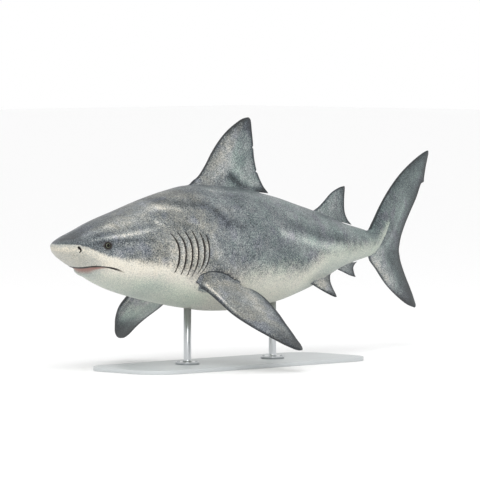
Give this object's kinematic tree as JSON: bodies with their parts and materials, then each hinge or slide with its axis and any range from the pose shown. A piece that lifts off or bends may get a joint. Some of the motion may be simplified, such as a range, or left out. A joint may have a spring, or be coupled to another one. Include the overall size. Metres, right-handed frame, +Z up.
{
  "type": "bull shark life-size display model",
  "caption": "Life-size still model of a stout, blunt-nosed reef shark swimming with its tail swept to one side, held over the floor by a flat base and rods.",
  "frame": {"origin": "centre of the underside of the stand's base, on the floor", "axes": "+X from the snout towards the tail, +Y towards the shark's right side, +Z up"},
  "size_m": [2.3559, 1.0408, 0.9915],
  "materials": {
    "skin": "fine sandy shark skin, satin, slate grey above with mottled flanks",
    "belly_skin": "fine sandy shark skin, satin, ivory",
    "fin_skin": "fine sandy shark skin, satin, darker at tips and rear edges",
    "eye": "wet, glossy",
    "stand_paint": "satin light grey powder coat",
    "stand_steel": "fine turned stainless steel"
  },
  "bodies": {
    "root": {"head": "skin", "lower_jaw": "belly_skin", "eye_left": "eye", "eye_right": "eye", "gill_region": "skin", "trunk_front": "skin", "trunk_rear": "skin", "tail_stock": "skin", "first_dorsal_fin": "fin_skin", "second_dorsal_fin": "fin_skin", "anal_fin": "fin_skin", "pectoral_fin_left": "fin_skin", "pectoral_fin_right": "fin_skin", "pelvic_fin_left": "fin_skin", "pelvic_fin_right": "fin_skin", "tail_fin_upper_lobe": "fin_skin", "tail_fin_lower_lobe": "fin_skin", "stand_base": "stand_paint", "stand_rod_front": "stand_steel", "stand_rod_rear": "stand_steel"}
  },
  "joints": []
}
